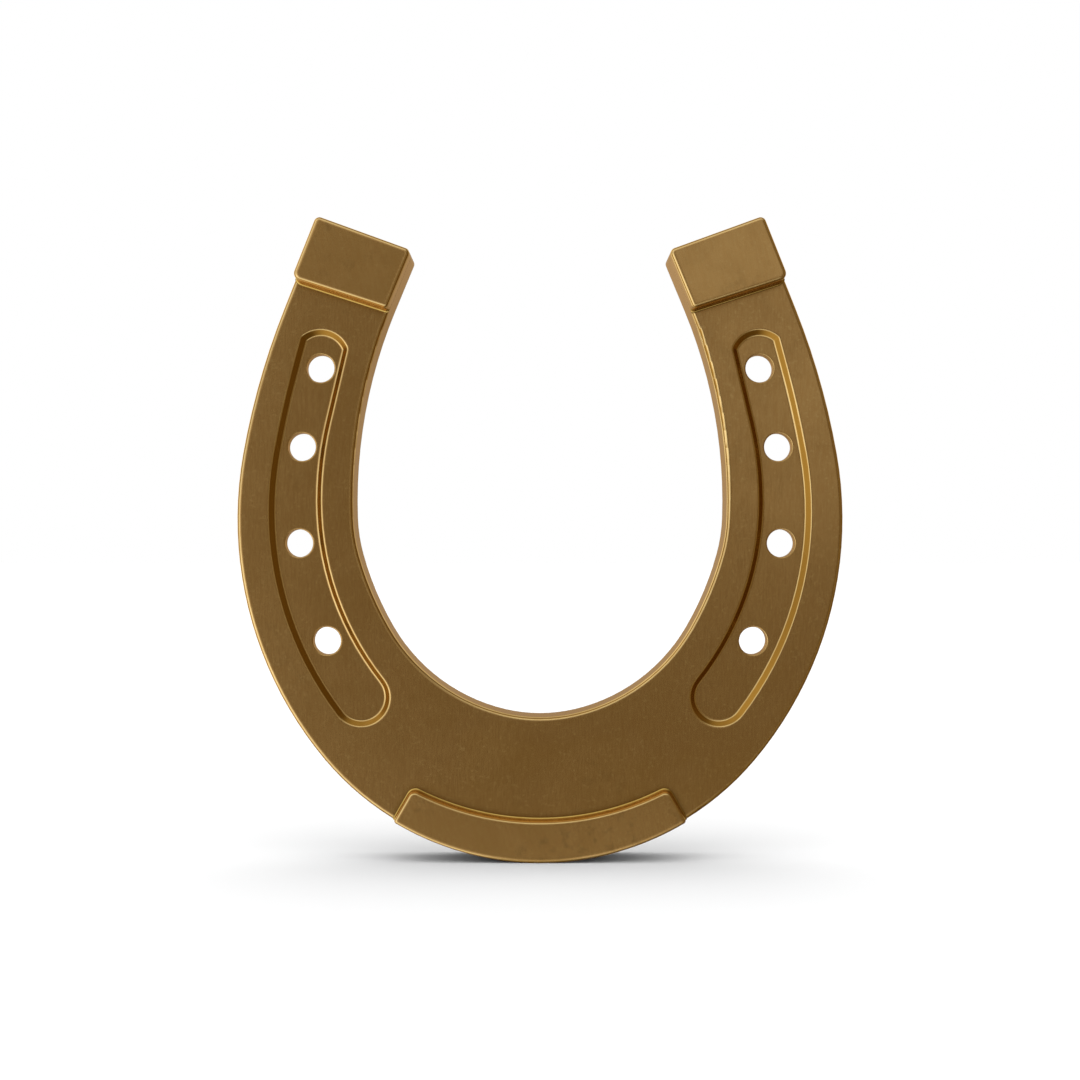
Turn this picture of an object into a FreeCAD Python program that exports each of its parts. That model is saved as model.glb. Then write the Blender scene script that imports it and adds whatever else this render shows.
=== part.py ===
import FreeCAD, Part
import math
import os

# A calked horseshoe standing on its toe, heels up, in millimetres.
# +X is to the right seen from the ground side, +Z runs from toe to heels, and the ground side faces -Y.
# The origin is under the toe, at the middle of the overall depth.

# Bar
bar_thickness = 9.5
bar_edge_radius = 0.85
toe_web = 30.65                     # width of the bar at the middle of the toe
# Each curve is a chain of tangent arcs for the +X branch, given as (radius, heading at its end in degrees).
# It starts at the middle of the toe with heading 0, along +X, and runs out straight to the heel.
outer_arcs = [(60.25, 50), (80.4, 100), (159, 111.7)]
inner_arcs = [(33.5, 13), (38.45, 60), (68, 74.5), (34.1, 88), (109, 112.5)]
heel_point = (37.2, 133.65)         # a point on the line that ends the heel
heel_slope = 19.9                   # degrees that this line rises towards the outside
heel_corner_radius = 1.2

# Crease, the shallow recess that takes the nail heads
crease_depth = 1.1
crease_wall_run = 1.18              # how far the sloped wall runs in from the rim
crease_rim_radius = 0.5
crease_root_radius = 0.55
crease_toe_centre = (38.4, 34.95)
crease_toe_radius = 6.3
crease_outer_heading = 52.6         # headings of the two sides where they leave the round toe end
crease_inner_heading = 51.5
crease_outer_arcs = [(71.9, 100), (213, 105)]
crease_inner_arcs = [(61.4, 90), (72.5, 103.2)]
crease_outer_corner = 112.2         # heights of the three points of the heel end's arc
crease_crown = (46.2, 113.78)
crease_inner_corner = 109.7
crease_corner_radii = (1.8, 1.3)    # inner corner, outer corner; each more than the wall run

# Nail holes, in pairs one on each branch, as (distance from the middle, height)
nail_holes = [(47.2, 105.6), (51.2, 88.7), (51.8, 68.0), (45.8, 47.0)]
nail_hole_radius = 3.0
nail_hole_length = 3.0              # parallel length below the crease, before the hoof side relief
nail_relief_radius = 4.2
nail_rim_radius = 0.2

# Calks
toe_calk_height = 2.8
toe_calk_top_radius = 58.0          # curve of its upper edge
toe_calk_width = 8.8                # at the middle
toe_calk_end = (31.1, 9.0)          # where its end face meets the outer edge
toe_calk_end_heading = 120
toe_calk_end_radius = 0.7
toe_calk_shoulder_radius = 1.6
heel_calk_height = 4.6
heel_calk_foot = (42.4, 120.87)     # a point on the lower edge of its foot
heel_calk_foot_slope = 17.8
heel_calk_foot_radii = (1.6, 0.8)    # outer and inner corner of its lower edge
toe_calk_edge_radius = 0.65
heel_calk_edge_radius = 0.75

# Braze under each calk, and the bead that shows round its foot
braze_thickness = 0.3
bead_radius = 0.5                   # of the hollow bead, from the bar up to the calk's wall

# Spur on each calk, driven into a socket in the bar
spur_radius = 2.0
spur_length = 5.5
spur_tip = 0.8                      # chamfer of its tip
socket_clearance = 0.05
socket_end_gap = 0.5
toe_spur = (0.0, 4.4)
heel_spur = (43.2, 127.2)

overall_depth = bar_thickness + heel_calk_height
hoof_y = overall_depth / 2
ground_y = hoof_y - bar_thickness
toe_ground_y = ground_y - toe_calk_height
heel_ground_y = ground_y - heel_calk_height
calk_base_y = ground_y - braze_thickness
crease_y = ground_y + crease_depth
relief_y = crease_y + nail_hole_length


def at(point, y=0.0):
    return FreeCAD.Vector(point[0], y, point[1])


def along(point, heading, distance):
    angle = math.radians(heading)
    return (point[0] + distance * math.cos(angle), point[1] + distance * math.sin(angle))


def meet(point_a, heading_a, point_b, heading_b):
    """Where the line through point_a meets the line through point_b."""
    a = math.radians(heading_a)
    b = math.radians(heading_b)
    dx = point_b[0] - point_a[0]
    dz = point_b[1] - point_a[1]
    distance = (dx * math.sin(b) - dz * math.cos(b)) / math.sin(b - a)
    return along(point_a, heading_a, distance)


def line(start, end):
    return Part.LineSegment(at(start), at(end)).toShape()


def arc(start, middle, end):
    return Part.Arc(at(start), at(middle), at(end)).toShape()


def arc_chain(start, heading, arcs):
    """Tangent arcs that turn to the left; returns the edges, the last point and the last heading."""
    edges = []
    for radius, end_heading in arcs:
        centre = along(start, heading + 90, radius)
        middle = along(centre, (heading + end_heading) / 2 - 90, radius)
        end = along(centre, end_heading - 90, radius)
        edges.append(arc(start, middle, end))
        start = end
        heading = end_heading
    return edges, start, heading


def face_of(edges):
    return Part.Face(Part.Wire(Part.__sortEdges__(edges)))


def mirrored(shape):
    return shape.mirror(FreeCAD.Vector(0, 0, 0), FreeCAD.Vector(1, 0, 0))


def prism(face, low_y, high_y):
    solid = face.extrude(FreeCAD.Vector(0, high_y - low_y, 0))
    solid.translate(FreeCAD.Vector(0, low_y, 0))
    return solid


def edges_at(shape, y):
    """Edges that lie in the plane at this depth."""
    near = 1e-4
    return [e for e in shape.Edges if abs(e.BoundBox.YMin - y) < near and abs(e.BoundBox.YMax - y) < near]


def edges_through(shape, point):
    """Edges along Y that stand on this point."""
    near = 1e-3
    found = []
    for edge in shape.Edges:
        box = edge.BoundBox
        upright = abs(box.XLength) + abs(box.ZLength) < near
        if upright and math.hypot(box.XMin - point[0], box.ZMin - point[1]) < near:
            found.append(edge)
    return found


def cylinder(point, radius, low_y, high_y):
    return Part.makeCylinder(radius, high_y - low_y, at(point, low_y), FreeCAD.Vector(0, 1, 0))


def below(centre, radius, x):
    """The lowest point of this circle at this distance from the middle."""
    return (x, centre[1] - math.sqrt(radius ** 2 - (x - centre[0]) ** 2))


def crossing(centre, radius, point, heading):
    """Where the line through this point meets this circle, at the nearer of the two places."""
    angle = math.radians(heading)
    dx = point[0] - centre[0]
    dz = point[1] - centre[1]
    half = dx * math.cos(angle) + dz * math.sin(angle)
    root = math.sqrt(half ** 2 - dx ** 2 - dz ** 2 + radius ** 2)
    return along(point, heading, min(-half - root, -half + root, key=abs))


def lies_on(edge, wire):
    middle = edge.valueAt((edge.FirstParameter + edge.LastParameter) / 2)
    return wire.distToShape(Part.Vertex(middle))[0] < 1e-3


# Corners of the heel, where its end line crosses the two straight runs
outer_edges, outer_last, outer_heading = arc_chain((0, 0), 0, outer_arcs)
inner_edges, inner_last, inner_heading = arc_chain((0, toe_web), 0, inner_arcs)
outer_heel = meet(outer_last, outer_heading, heel_point, heel_slope)
inner_heel = meet(inner_last, inner_heading, heel_point, heel_slope)


def bar_outline():
    half = outer_edges + inner_edges
    half.append(line(outer_last, outer_heel))
    half.append(line(outer_heel, inner_heel))
    half.append(line(inner_last, inner_heel))
    return face_of(half + [mirrored(edge) for edge in half])


def sharp_bar():
    """The bar before its edges are eased, with rounded heel corners."""
    bar = prism(bar_outline(), ground_y, hoof_y)
    corners = []
    for x, z in (outer_heel, inner_heel):
        corners += edges_through(bar, (x, z)) + edges_through(bar, (-x, z))
    return bar.makeFillet(heel_corner_radius, corners)


def crease_face():
    outer_start = along(crease_toe_centre, crease_outer_heading - 90, crease_toe_radius)
    inner_start = along(crease_toe_centre, crease_inner_heading + 90, crease_toe_radius)
    toe_heading = (crease_outer_heading + crease_inner_heading) / 2
    toe_middle = along(crease_toe_centre, toe_heading + 180, crease_toe_radius)
    outer, outer_end, outer_turn = arc_chain(outer_start, crease_outer_heading, crease_outer_arcs)
    inner, inner_end, inner_turn = arc_chain(inner_start, crease_inner_heading, crease_inner_arcs)
    outer_corner = meet(outer_end, outer_turn, (0, crease_outer_corner), 0)
    inner_corner = meet(inner_end, inner_turn, (0, crease_inner_corner), 0)
    edges = outer + inner
    edges.append(line(outer_end, outer_corner))
    edges.append(line(inner_end, inner_corner))
    edges.append(arc(inner_corner, crease_crown, outer_corner))
    edges.append(arc(outer_start, toe_middle, inner_start))
    blank = prism(face_of(edges), 0, 1)
    for corner, radius in zip((inner_corner, outer_corner), crease_corner_radii):
        blank = blank.makeFillet(radius, edges_through(blank, corner))
    return [face for face in blank.Faces if face.BoundBox.YMax < 1e-4][0]


def crease_cutter():
    rim = crease_face().OuterWire
    floor = rim.makeOffset2D(-crease_wall_run)
    rim.translate(FreeCAD.Vector(0, ground_y, 0))
    floor.translate(FreeCAD.Vector(0, crease_y, 0))
    cutter = Part.makeLoft([rim, floor], True, True)
    return cutter.makeFillet(crease_root_radius, edges_at(cutter, crease_y))


def nail_cutter(point):
    hole = cylinder(point, nail_hole_radius, ground_y, relief_y)
    relief = Part.makeCone(nail_hole_radius, nail_relief_radius, hoof_y - relief_y,
                           at(point, relief_y), FreeCAD.Vector(0, 1, 0))
    return hole.fuse(relief)


def heel_calk_block():
    outer_foot = meet(outer_last, outer_heading, heel_calk_foot, heel_calk_foot_slope)
    inner_foot = meet(inner_last, inner_heading, heel_calk_foot, heel_calk_foot_slope)
    corners = [outer_foot, outer_heel, inner_heel, inner_foot]
    face = face_of([line(corners[i - 1], corners[i]) for i in range(4)])
    block = prism(face, heel_ground_y, calk_base_y)
    outer_radius, inner_radius = heel_calk_foot_radii
    radii = [outer_radius, heel_corner_radius, heel_corner_radius, inner_radius]
    for corner, radius in zip(corners, radii):
        block = block.makeFillet(radius, edges_through(block, corner))
    return block


def toe_calk_block():
    outer_radius = outer_arcs[0][0]
    top_centre = (0, toe_calk_width + toe_calk_top_radius)
    end = crossing((0, outer_radius), outer_radius, toe_calk_end, toe_calk_end_heading)
    shoulder = crossing(top_centre, toe_calk_top_radius, toe_calk_end, toe_calk_end_heading)
    half = [line(end, shoulder)]
    half.append(arc((0, 0), below((0, outer_radius), outer_radius, end[0] / 2), end))
    half.append(arc((0, toe_calk_width), below(top_centre, toe_calk_top_radius, shoulder[0] / 2), shoulder))
    block = prism(face_of(half + [mirrored(edge) for edge in half]), toe_ground_y, calk_base_y)
    for corner, radius in ((end, toe_calk_end_radius), (shoulder, toe_calk_shoulder_radius)):
        for x in (corner[0], -corner[0]):
            block = block.makeFillet(radius, edges_through(block, (x, corner[1])))
    return block


def calk(block, face_y, edge_radius, spur_point):
    """A calk from its plain block: its ground edges are eased and its spur is added."""
    spur_end_y = ground_y + spur_length
    spur = cylinder(spur_point, spur_radius, calk_base_y, spur_end_y)
    spur = spur.makeChamfer(spur_tip, edges_at(spur, spur_end_y))
    block = block.makeFillet(edge_radius, edges_at(block, face_y))
    return block.fuse(spur).removeSplitter()


def foot_wire(block, growth, y):
    """Outline of a calk's foot at this depth, grown by this much."""
    wire = [face for face in block.Faces if abs(face.BoundBox.YMin - calk_base_y) < 1e-4][0].OuterWire
    if growth:
        wire = wire.makeOffset2D(growth)
    wire.translate(FreeCAD.Vector(0, y - calk_base_y, 0))
    return wire


def braze(block, spur_point, sharp):
    """The layer under a calk, with a bead that sweeps from the bar up to the calk's wall."""
    bead_y = ground_y - bead_radius
    foot = foot_wire(block, 0, ground_y)
    post = prism(Part.Face(foot), bead_y - ground_y - bead_radius, 0)
    slab = prism(Part.Face(foot_wire(block, 2 * bead_radius, ground_y)), 0, bead_radius)
    joined = slab.fuse(post)
    seam = joined.makeFillet(bead_radius, [e for e in edges_at(joined, ground_y) if lies_on(e, foot)])
    outline = [face for face in sharp.Faces if abs(face.BoundBox.YMax - ground_y) < 1e-4][0]
    seam = seam.common(prism(outline, bead_y - ground_y, 0))
    return seam.cut(block).cut(cylinder(spur_point, spur_radius + socket_clearance, bead_y, ground_y))


def bar(sharp, calks):
    body = sharp.makeFillet(bar_edge_radius, edges_at(sharp, ground_y) + edges_at(sharp, hoof_y))
    for block, spur_point in calks:
        seat = Part.Face(foot_wire(block, bead_radius, ground_y))
        body = body.fuse(sharp.common(prism(seat, 0, 2 * bar_edge_radius)))
        socket_end_y = ground_y + spur_length + socket_end_gap
        body = body.cut(cylinder(spur_point, spur_radius + socket_clearance, ground_y, socket_end_y))
    cutter = crease_cutter()
    rim = crease_face().OuterWire
    rim.translate(FreeCAD.Vector(0, ground_y, 0))
    body = body.cut(cutter).cut(mirrored(cutter))
    for x, z in nail_holes:
        body = body.cut(nail_cutter((x, z))).cut(nail_cutter((-x, z)))
    rims = [e for e in edges_at(body, ground_y) if lies_on(e, rim) or lies_on(e, mirrored(rim))]
    body = body.makeFillet(crease_rim_radius, rims)
    holes = [e for e in edges_at(body, crease_y) if abs(e.Length - 2 * math.pi * nail_hole_radius) < 0.01]
    return body.makeFillet(nail_rim_radius, holes)


parts = {}
sharp = sharp_bar()
toe_block = toe_calk_block()
heel_block = heel_calk_block()
toe_calk = calk(toe_block, toe_ground_y, toe_calk_edge_radius, toe_spur)
heel_calk = calk(heel_block, heel_ground_y, heel_calk_edge_radius, heel_spur)
toe_braze = braze(toe_block, toe_spur, sharp)
heel_braze = braze(heel_block, heel_spur, sharp)
left_spur = (-heel_spur[0], heel_spur[1])
seats = [(toe_block, toe_spur), (heel_block, heel_spur), (mirrored(heel_block), left_spur)]
parts["shoe_bar"] = bar(sharp, seats)
parts["toe_calk"] = toe_calk
parts["right_heel_calk"] = heel_calk
parts["left_heel_calk"] = mirrored(heel_calk)
parts["toe_calk_braze"] = toe_braze
parts["right_heel_calk_braze"] = heel_braze
parts["left_heel_calk_braze"] = mirrored(heel_braze)

os.makedirs("parts", exist_ok=True)
for name, shape in parts.items():
    print(name, shape.isValid(), len(shape.Solids), round(shape.Volume, 1), shape.optimalBoundingBox())
    shape.exportStep("parts/" + name + ".step")
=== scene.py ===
import math
import bpy
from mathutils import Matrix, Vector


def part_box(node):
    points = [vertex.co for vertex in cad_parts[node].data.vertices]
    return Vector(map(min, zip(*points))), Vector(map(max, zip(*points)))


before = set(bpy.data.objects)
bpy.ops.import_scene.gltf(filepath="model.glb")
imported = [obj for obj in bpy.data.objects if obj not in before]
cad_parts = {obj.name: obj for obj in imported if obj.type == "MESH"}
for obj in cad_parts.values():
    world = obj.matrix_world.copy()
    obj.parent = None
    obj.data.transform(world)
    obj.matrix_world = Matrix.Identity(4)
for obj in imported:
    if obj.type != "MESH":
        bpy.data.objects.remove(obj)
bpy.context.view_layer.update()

# A calked brass horseshoe standing on its toe, seen square on from the ground side.
# All sizes are metres, in the frame of the CAD model: +X right, +Z from toe to heels, ground side at -Y.

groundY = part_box("shoe_bar")[0].y


# a Mix node's sockets by number when it mixes colours, since its names repeat for each data type
mixFactor, mixFirst, mixSecond, mixResult = 0, 6, 7, 2


def deselectAll():
    if bpy.context.object and bpy.context.object.mode != "OBJECT":
        bpy.ops.object.mode_set(mode="OBJECT")
    bpy.ops.object.select_all(action="DESELECT")


cameraSetup = {
    "lens": 50,                 # mm
    "sensor": 36,               # mm wide
    "distance": 0.3213,         # from the lens to the ground face of the bar
    "height": 0.0687,           # level with the middle of the shoe
}


def makeCamera():
    cameraData = bpy.data.cameras.new("camera")
    cameraData.lens = cameraSetup["lens"]
    cameraData.sensor_width = cameraSetup["sensor"]
    cameraData.clip_start = 0.01
    camera = bpy.data.objects.new("camera", cameraData)
    camera.location = (0, groundY - cameraSetup["distance"], cameraSetup["height"])
    camera.rotation_euler = (math.radians(90), 0, 0)
    bpy.context.scene.collection.objects.link(camera)
    bpy.context.scene.camera = camera
    print("camera: ready")


floorSetup = {
    "size": 8.0,
    "colour": (0.95, 0.95, 0.95, 1),
}


def makeFloor():
    deselectAll()
    bpy.ops.mesh.primitive_plane_add(size=floorSetup["size"], location=(0, 0, 0))
    floor = bpy.context.object
    floor.name = "floor"
    material = bpy.data.materials.new("paleFloor")
    material.use_nodes = True
    shader = material.node_tree.nodes["Principled BSDF"]
    shader.inputs["Base Color"].default_value = floorSetup["colour"]
    shader.inputs["Roughness"].default_value = 1
    shader.inputs["Specular IOR Level"].default_value = 0
    floor.data.materials.append(material)
    floor.visible_glossy = False    # the metal mirrors the soft lights below, not the bare floor
    print("floor: ready")


# A light is (azimuth, height, core, reach, strength), the first four in degrees. Azimuth turns from the
# camera's side to the right, and height is above level. A light is full within its core and has faded
# out at its reach.
studio = {
    "backdrop": 1.0,            # what the camera sees behind the shoe
    "ambient": 0.214,           # what the metal sees where no soft light is
    "ambientColour": (1.0, 0.78, 0.45, 1),      # warm, as in a room with a wooden floor
    "rightColour": (1.0, 0.66, 0.26, 1),        # warmer still at the front right
    "rightSide": (75, 0, 25, 60, 1.0),          # where that warmer colour reaches
    "floorEven": 0.74,          # light on the floor, from all round
    "floorOverhead": (0, 90, 0, 57, 1.15),      # and from above
}
softLights = {
    "leftWall": (-110, 20, 0, 70, 0.85),
    "gapInLeftWall": (-80, 5, 0, 35, -0.75),    # a dark strip, so it takes light away
    "frontLeftBox": (-50, 10, 25, 40, 0.60),
    "lowLeft": (-60, -40, 0, 60, 0.95),
    "overhead": (-5, 60, 0, 45, 0.60),
    "overheadFront": (-5, 40, 0, 20, 0.20),
    "tableFront": (10, -30, 0, 18, 0.70),
    "backRight": (140, 40, 0, 50, 0.40),
    "rightRear": (120, 5, 20, 55, 0.10),
    "behindShoe": (-170, 10, 25, 65, 0.20),
    "window": (10, 10, 0, 15, 0.30),
}


def towards(azimuth, height):
    around, above = math.radians(azimuth), math.radians(height)
    return (math.sin(around) * math.cos(above), -math.cos(around) * math.cos(above), math.sin(above))


def makeStudio():
    world = bpy.data.worlds.new("studio")
    bpy.context.scene.world = world
    world.use_nodes = True
    world.cycles.sampling_method = "NONE"   # the floor and the metal see different light
    nodes, links = world.node_tree.nodes, world.node_tree.links
    direction = nodes.new("ShaderNodeTexCoord").outputs["Generated"]

    def addLight(name, light, before):
        azimuth, height, core, reach, strength = light
        facing = nodes.new("ShaderNodeVectorMath")
        facing.operation = "DOT_PRODUCT"
        facing.label = name
        facing.inputs[1].default_value = towards(azimuth, height)
        links.new(direction, facing.inputs[0])
        fall = nodes.new("ShaderNodeMapRange")
        fall.interpolation_type = "SMOOTHSTEP"
        fall.inputs["From Min"].default_value = math.cos(math.radians(reach))
        fall.inputs["From Max"].default_value = math.cos(math.radians(core))
        fall.inputs["To Max"].default_value = strength
        links.new(facing.outputs["Value"], fall.inputs["Value"])
        add = nodes.new("ShaderNodeMath")
        links.new(fall.outputs["Result"], add.inputs[1])
        if isinstance(before, float):
            add.inputs[0].default_value = before
        else:
            links.new(before, add.inputs[0])
        return add.outputs["Value"]

    onMetal = 0.0
    for name, light in softLights.items():
        onMetal = addLight(name, light, onMetal)
    onFloor = addLight("floorOverhead", studio["floorOverhead"], studio["floorEven"])
    rightSide = addLight("rightSide", studio["rightSide"], 0.0)
    path = nodes.new("ShaderNodeLightPath")

    def byRay(onGlossy, onDiffuse, toCamera):
        forFloor = nodes.new("ShaderNodeMix")
        links.new(path.outputs["Is Diffuse Ray"], forFloor.inputs["Factor"])
        forCamera = nodes.new("ShaderNodeMix")
        links.new(path.outputs["Is Camera Ray"], forCamera.inputs["Factor"])
        links.new(forFloor.outputs["Result"], forCamera.inputs["A"])
        forCamera.inputs["B"].default_value = toCamera
        for socket, value in (("A", onGlossy), ("B", onDiffuse)):
            if isinstance(value, float):
                forFloor.inputs[socket].default_value = value
            else:
                links.new(value, forFloor.inputs[socket])
        return forCamera.outputs["Result"]

    lights = nodes["Background"]
    lights.inputs["Color"].default_value = (1, 1, 1, 1)
    links.new(byRay(onMetal, onFloor, studio["backdrop"]), lights.inputs["Strength"])
    tint = nodes.new("ShaderNodeMix")
    tint.data_type = "RGBA"
    links.new(rightSide, tint.inputs[mixFactor])
    tint.inputs[mixFirst].default_value = studio["ambientColour"]
    tint.inputs[mixSecond].default_value = studio["rightColour"]
    ambient = nodes.new("ShaderNodeBackground")
    links.new(tint.outputs[mixResult], ambient.inputs["Color"])
    links.new(byRay(studio["ambient"], 0.0, 0.0), ambient.inputs["Strength"])
    both = nodes.new("ShaderNodeAddShader")
    links.new(lights.outputs["Background"], both.inputs[0])
    links.new(ambient.outputs["Background"], both.inputs[1])
    links.new(both.outputs["Shader"], nodes["World Output"].inputs["Surface"])
    bpy.context.scene.view_settings.view_transform = "Standard"
    bpy.context.scene.cycles.caustics_reflective = False    # no golden glints on the floor
    print("studio: ready,", len(softLights), "soft lights")


def newGroup(name, inputs, outputs):
    # inputs maps a socket name to its (type, default), outputs to its type
    group = bpy.data.node_groups.new(name, "ShaderNodeTree")
    for socketName, (kind, default) in inputs.items():
        socket = group.interface.new_socket(name=socketName, in_out="INPUT", socket_type="NodeSocket" + kind)
        socket.default_value = default
    for socketName, kind in outputs.items():
        group.interface.new_socket(name=socketName, in_out="OUTPUT", socket_type="NodeSocket" + kind)
    return group, group.nodes.new("NodeGroupInput"), group.nodes.new("NodeGroupOutput")


def addNode(tree, kind, label, settings, inputs):
    # each input is a value or another node's socket
    node = tree.nodes.new("ShaderNode" + kind)
    node.label = label
    for name, value in settings.items():
        setattr(node, name, value)
    for name, value in inputs.items():
        if isinstance(value, bpy.types.NodeSocket):
            tree.links.new(value, node.inputs[name])
        else:
            node.inputs[name].default_value = value
    return node


def rangeMask(tree, label, value, low, high, toLow=0.0, toHigh=1.0):
    node = addNode(tree, "MapRange", label, {"interpolation_type": "SMOOTHSTEP"},
                   {"Value": value, "From Min": low, "From Max": high, "To Min": toLow, "To Max": toHigh})
    return node.outputs["Result"]


def mathNode(tree, label, operation, first, second):
    return addNode(tree, "Math", label, {"operation": operation}, {0: first, 1: second}).outputs["Value"]


def blend(tree, label, factor, first, second, mode="MIX"):
    node = addNode(tree, "Mix", label, {"data_type": "RGBA", "blend_type": mode},
                   {mixFactor: factor, mixFirst: first, mixSecond: second})
    return node.outputs[mixResult]


maskRanges = {
    # where each mask begins and where it is full, against the noise, distance or openness that it reads
    "rubbing": (0.35, 0.6),
    "clouds": (0.3, 0.7),
    "gathered": (0.42, 0.62),
    "smudgeSpots": (0.5, 0.68),
    "speckles": (0.56, 0.75),
    "scratchLine": (0.008, 0.002),
    "scratchParts": (0.55, 0.62),
    "streakShade": (0.35, 0.65),
    "cornerShade": (0.95, 0.35),
}
scratchSets = (
    # the angle in radians and how far the pattern is squashed along it
    (0.5, 0.08),
    (-0.9, 0.1),
    (2.1, 0.09),
)
turnRanges = {
    # how squarely a surface faces the ground or the hoof: 1 on the flat faces, 0 on the sides
    "leavesFace": (0.995, 0.95),
    "beforeCreaseWall": (0.78, 0.86),
    "pastCreaseWall": (0.64, 0.56),
    "beforeSide": (0.03, 0.15),
    "wallBegins": (0.86, 0.79),
    "wallEnds": (0.56, 0.63),
}


def groupEdgeWearAndPaintedLight():
    # Rims lighter where a surface turns between a flat face and a wall: rubbed brass on the convex edges, a
    # painted highlight on the concave roots. The sloped crease walls are picked out too, for painted shade.
    group, given, gives = newGroup("edgeWearAndPaintedLight", {
        "Patchiness": ("Float", 0.3),
        "Patch Scale": ("Float", 250.0),
    }, {"Rim": "Float", "Wall": "Float"})
    coordinates = addNode(group, "TexCoord", "", {}, {})
    normal = addNode(group, "SeparateXYZ", "facing", {}, {"Vector": coordinates.outputs["Normal"]})
    turn = mathNode(group, "facing ground or hoof", "ABSOLUTE", normal.outputs["Y"], 0.0)
    leavesFace = rangeMask(group, "leaves the face", turn, *turnRanges["leavesFace"])
    nearWall = rangeMask(group, "before the crease wall", turn, *turnRanges["beforeCreaseWall"])
    firstRim = mathNode(group, "face to crease wall", "MULTIPLY", leavesFace, nearWall)
    leavesWall = rangeMask(group, "past the crease wall", turn, *turnRanges["pastCreaseWall"])
    nearSide = rangeMask(group, "before the side", turn, *turnRanges["beforeSide"])
    secondRim = mathNode(group, "crease wall to side", "MULTIPLY", leavesWall, nearSide)
    rim = mathNode(group, "both rims", "ADD", firstRim, secondRim)
    patches = addNode(group, "TexNoise", "patchy rubbing", {}, {
        "Vector": coordinates.outputs["Object"], "Scale": given.outputs["Patch Scale"],
        "Detail": 3.0, "Roughness": 0.6})
    uneven = rangeMask(group, "patches", patches.outputs["Fac"], *maskRanges["rubbing"])
    missing = mathNode(group, "unrubbed", "SUBTRACT", 1.0, uneven)
    missing = mathNode(group, "by patchiness", "MULTIPLY", missing, given.outputs["Patchiness"])
    kept = mathNode(group, "rubbed", "SUBTRACT", 1.0, missing)
    group.links.new(mathNode(group, "rim wear", "MULTIPLY", rim, kept), gives.inputs["Rim"])
    # the sloped crease walls, picked out for painted shade
    wallStart = rangeMask(group, "wall begins", turn, *turnRanges["wallBegins"])
    wallStop = rangeMask(group, "wall ends", turn, *turnRanges["wallEnds"])
    group.links.new(mathNode(group, "sloped wall", "MULTIPLY", wallStart, wallStop), gives.inputs["Wall"])
    return group


def groupTarnish():
    # Cloudy colour change, small dark smudges and light speckles of old brass.
    group, given, gives = newGroup("tarnish", {
        "Cloud Scale": ("Float", 60.0),
        "Smudge Scale": ("Float", 320.0),
        "Smudge Cover": ("Float", 0.4),
        "Speckle Scale": ("Float", 1400.0),
    }, {"Clouds": "Float", "Smudges": "Float", "Speckles": "Float"})
    coordinates = addNode(group, "TexCoord", "", {}, {})
    place = coordinates.outputs["Object"]
    clouds = addNode(group, "TexNoise", "clouds", {}, {
        "Vector": place, "Scale": given.outputs["Cloud Scale"], "Detail": 5.0, "Roughness": 0.6,
        "Distortion": 0.4})
    patches = rangeMask(group, "clouds", clouds.outputs["Fac"], *maskRanges["clouds"])
    group.links.new(patches, gives.inputs["Clouds"])
    smudges = addNode(group, "TexNoise", "smudges", {}, {
        "Vector": place, "Scale": given.outputs["Smudge Scale"], "Detail": 4.0, "Roughness": 0.65})
    where = addNode(group, "TexNoise", "where smudges gather", {}, {
        "Vector": place, "Scale": given.outputs["Cloud Scale"], "Detail": 1.0})
    gather = rangeMask(group, "gathered", where.outputs["Fac"], *maskRanges["gathered"])
    spots = rangeMask(group, "smudge spots", smudges.outputs["Fac"], *maskRanges["smudgeSpots"])
    spots = mathNode(group, "smudges there", "MULTIPLY", spots, gather)
    group.links.new(mathNode(group, "cover", "MULTIPLY", spots, given.outputs["Smudge Cover"]),
                    gives.inputs["Smudges"])
    speckles = addNode(group, "TexNoise", "speckles", {}, {
        "Vector": place, "Scale": given.outputs["Speckle Scale"], "Detail": 2.0, "Roughness": 0.5})
    dots = rangeMask(group, "speckles", speckles.outputs["Fac"], *maskRanges["speckles"])
    group.links.new(dots, gives.inputs["Speckles"])
    return group


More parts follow.
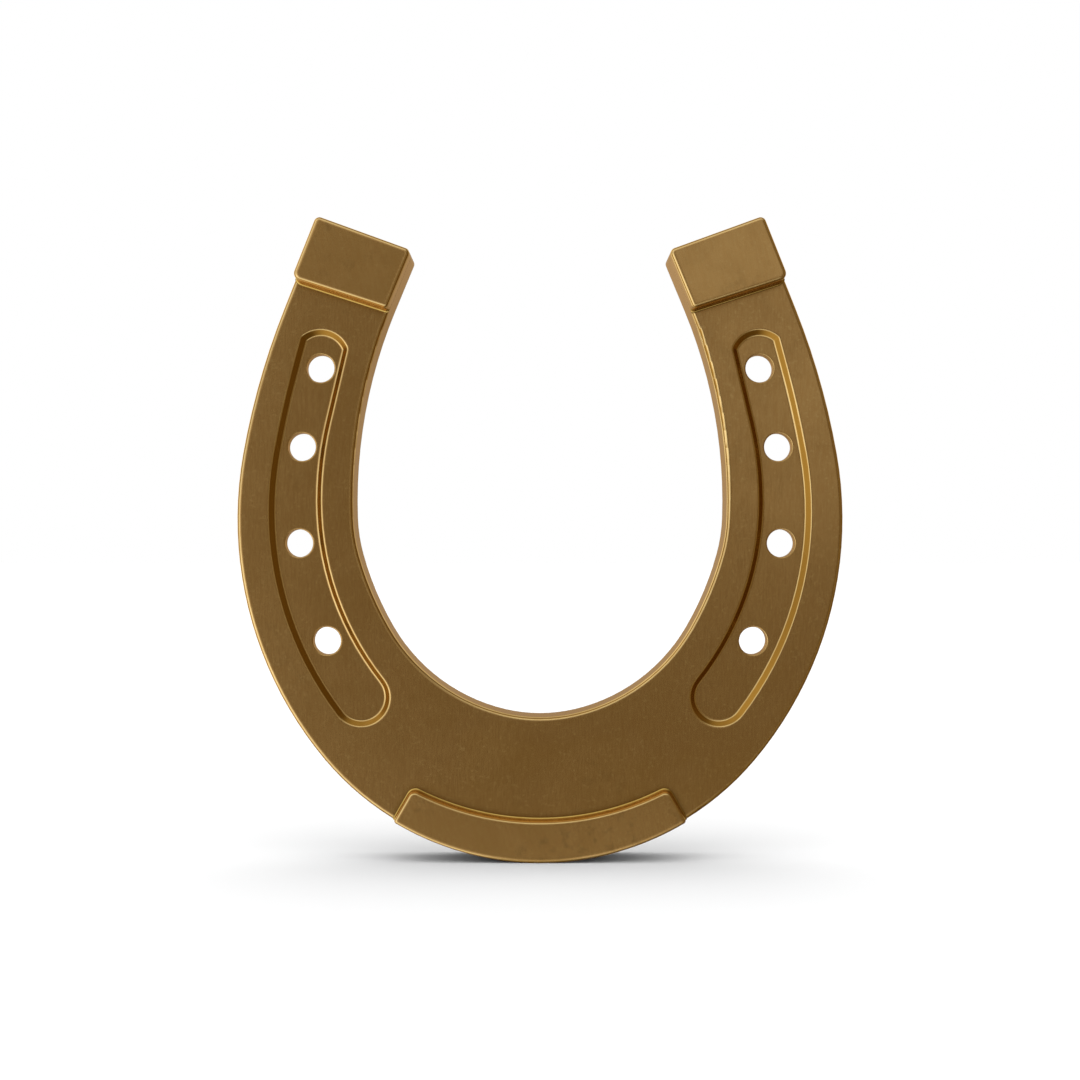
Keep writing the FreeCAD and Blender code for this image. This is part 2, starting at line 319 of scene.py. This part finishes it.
def groupBrushing():
    # Fine rubbed lines: streaks up the faces, and a few single scratches across them.
    group, given, gives = newGroup("brushing", {
        "Streak Scale": ("Float", 3200.0),
        "Streak Length": ("Float", 9.0),
        "Lean": ("Float", 0.0),
        "Scratch Scale": ("Float", 260.0),
    }, {"Streaks": "Float", "Scratches": "Float"})
    coordinates = addNode(group, "TexCoord", "", {}, {})
    turned = addNode(group, "VectorRotate", "lean of the streaks", {"rotation_type": "Y_AXIS"}, {
        "Vector": coordinates.outputs["Object"], "Angle": given.outputs["Lean"]})
    parts = addNode(group, "SeparateXYZ", "", {}, {"Vector": turned.outputs["Vector"]})
    along = mathNode(group, "drawn out", "DIVIDE", parts.outputs["Z"], given.outputs["Streak Length"])
    across = addNode(group, "CombineXYZ", "", {}, {
        "X": parts.outputs["X"], "Y": parts.outputs["Y"], "Z": along})
    streaks = addNode(group, "TexNoise", "streaks", {}, {
        "Vector": across.outputs["Vector"], "Scale": given.outputs["Streak Scale"], "Detail": 2.0,
        "Roughness": 0.6})
    group.links.new(streaks.outputs["Fac"], gives.inputs["Streaks"])
    scratches = None
    for angle, squash in scratchSets:
        lean = addNode(group, "VectorRotate", "scratch direction", {"rotation_type": "Y_AXIS"}, {
            "Vector": coordinates.outputs["Object"], "Angle": angle})
        drawn = addNode(group, "VectorMath", "scratch length", {"operation": "MULTIPLY"}, {
            0: lean.outputs["Vector"], 1: (1.0, 1.0, squash)})
        cells = addNode(group, "TexVoronoi", "scratch cells", {"feature": "DISTANCE_TO_EDGE"}, {
            "Vector": drawn.outputs["Vector"], "Scale": given.outputs["Scratch Scale"]})
        breaks = addNode(group, "TexNoise", "breaks", {}, {
            "Vector": drawn.outputs["Vector"], "Scale": given.outputs["Scratch Scale"], "Detail": 2.0})
        line = rangeMask(group, "scratch line", cells.outputs["Distance"], *maskRanges["scratchLine"])
        part = rangeMask(group, "where it shows", breaks.outputs["Fac"], *maskRanges["scratchParts"])
        line = mathNode(group, "broken line", "MULTIPLY", line, part)
        scratches = mathNode(group, "all scratches", "MAXIMUM", line, scratches) if scratches else line
    group.links.new(scratches, gives.inputs["Scratches"])
    return group


barBrass = {
    "base": (0.56, 0.347, 0.13, 1),
    "cloud": (0.49, 0.298, 0.108, 1),       # duller patches
    "smudge": (0.40, 0.245, 0.09, 1),
    "rim": (0.74, 0.55, 0.25, 1),           # rubbed bright on the convex rims; on the concave roots a painted highlight
    "wall": (0.37, 0.195, 0.028, 1),        # painted shade: the crease's sloped wall darkened to deep gold
    "cornerShade": (0.24, 0.13, 0.015, 1),        # painted shade gathered in corners
    "cornerShadeReach": 0.0020,                   # metres from a corner
    "grazing": (1.0, 0.76, 0.45, 1),        # tint of the reflection at a shallow angle
    "coat": 0.15,
    "roughness": (0.20, 0.25),
    "softEdge": 0.00045,                    # metres over which the shading rounds an edge
    "streakHeight": 0.0000009,              # metres
    "lean": 0.0,                            # radians that the streaks lean from upright
    "smudgeCover": 0.25,
    # how much of the rim's or the painted corner shade's colour each of these lends, at its strongest
    "streakShade": 0.17,
    "speckleShade": 0.3,
    "scratchShade": 0.12,
    "cornerShadeStrength": 0.85,
    "scratchDepth": 0.8,                    # against the height of a streak
    "coatRoughness": 0.2,
}
calkBrass = dict(barBrass, base=(0.65, 0.415, 0.16, 1), cloud=(0.58, 0.362, 0.135, 1),
                 softEdge=0.0007, lean=0.25, smudgeCover=0.5)
brazeFiller = dict(barBrass, base=(0.44, 0.27, 0.04, 1), cloud=(0.38, 0.23, 0.03, 1),
                   rim=(0.74, 0.54, 0.18, 1), softEdge=0.00005, streakHeight=0.0000004,
                   roughness=(0.16, 0.20), smudgeCover=0.2)


def makeBrass(name, settings, groups):
    material = bpy.data.materials.new(name)
    material.use_nodes = True
    tree = material.node_tree
    shader = tree.nodes["Principled BSDF"]
    shader.inputs["Metallic"].default_value = 1
    shader.inputs["Specular Tint"].default_value = settings["grazing"]
    shader.inputs["Coat Roughness"].default_value = settings["coatRoughness"]
    wearAndPaintedLight = addNode(tree, "Group", "edge wear", {"node_tree": groups["edgeWearAndPaintedLight"]}, {})
    tarnish = addNode(tree, "Group", "tarnish", {"node_tree": groups["tarnish"]},
                      {"Smudge Cover": settings["smudgeCover"]})
    brushing = addNode(tree, "Group", "brushing", {"node_tree": groups["brushing"]},
                       {"Lean": settings["lean"]})
    streaks = brushing.outputs["Streaks"]
    scratches = brushing.outputs["Scratches"]
    colour = blend(tree, "dull clouds", tarnish.outputs["Clouds"], settings["base"], settings["cloud"])
    colour = blend(tree, "smudges", tarnish.outputs["Smudges"], colour, settings["smudge"])
    light = rangeMask(tree, "streak shade", streaks, *maskRanges["streakShade"],
                      0.0, settings["streakShade"])
    colour = blend(tree, "streaks", light, colour, settings["rim"])
    speckle = mathNode(tree, "faint speckles", "MULTIPLY", tarnish.outputs["Speckles"],
                       settings["speckleShade"])
    colour = blend(tree, "speckles", speckle, colour, settings["rim"])
    # painted shade: the sloped crease walls darkened to deep gold
    colour = blend(tree, "painted shade on crease wall", wearAndPaintedLight.outputs["Wall"], colour, settings["wall"])
    # lighter rims: rubbed brass on convex edges, a painted highlight on the concave roots
    colour = blend(tree, "rubbed rims and painted highlight", wearAndPaintedLight.outputs["Rim"], colour, settings["rim"])
    # painted shade: the colour darkens in corners and crevices that the occlusion node finds closed in
    corners = addNode(tree, "AmbientOcclusion", "open to the air", {"samples": 6},
                      {"Distance": settings["cornerShadeReach"]})
    cornerShade = rangeMask(tree, "painted shade in corners", corners.outputs["AO"], *maskRanges["cornerShade"],
                      0.0, settings["cornerShadeStrength"])
    colour = blend(tree, "cornerShade", cornerShade, colour, settings["cornerShade"])
    bright = mathNode(tree, "faint scratches", "MULTIPLY", scratches, settings["scratchShade"])
    colour = blend(tree, "scratches", bright, colour, settings["rim"])
    tree.links.new(colour, shader.inputs["Base Color"])
    smooth, rough = settings["roughness"]
    roughness = rangeMask(tree, "roughness", tarnish.outputs["Clouds"], 0.0, 1.0, smooth, rough)
    tree.links.new(roughness, shader.inputs["Roughness"])
    coat = rangeMask(tree, "lacquer left", tarnish.outputs["Smudges"], 0.0, 1.0, settings["coat"], 0.0)
    tree.links.new(coat, shader.inputs["Coat Weight"])
    bevel = addNode(tree, "Bevel", "soft edges", {"samples": 8}, {"Radius": settings["softEdge"]})
    relief = mathNode(tree, "scratch depth", "MULTIPLY", scratches, -settings["scratchDepth"])
    relief = mathNode(tree, "relief", "ADD", relief, streaks)
    bump = addNode(tree, "Bump", "brushed relief", {}, {
        "Strength": 1.0, "Distance": settings["streakHeight"], "Height": relief,
        "Normal": bevel.outputs["Normal"]})
    tree.links.new(bump.outputs["Normal"], shader.inputs["Normal"])
    return material


makeCamera()
makeFloor()
makeStudio()
groups = {"edgeWearAndPaintedLight": groupEdgeWearAndPaintedLight(), "tarnish": groupTarnish(), "brushing": groupBrushing()}
barMetal = makeBrass("barBrass", barBrass, groups)
calkMetal = makeBrass("calkBrass", calkBrass, groups)
brazeMetal = makeBrass("brazeFiller", brazeFiller, groups)
for name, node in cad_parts.items():
    metal = calkMetal
    if name == "shoe_bar":
        metal = barMetal
    elif name.endswith("braze"):
        metal = brazeMetal
    node.data.materials.clear()
    node.data.materials.append(metal)
print("materials:", len(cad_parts), "pieces")
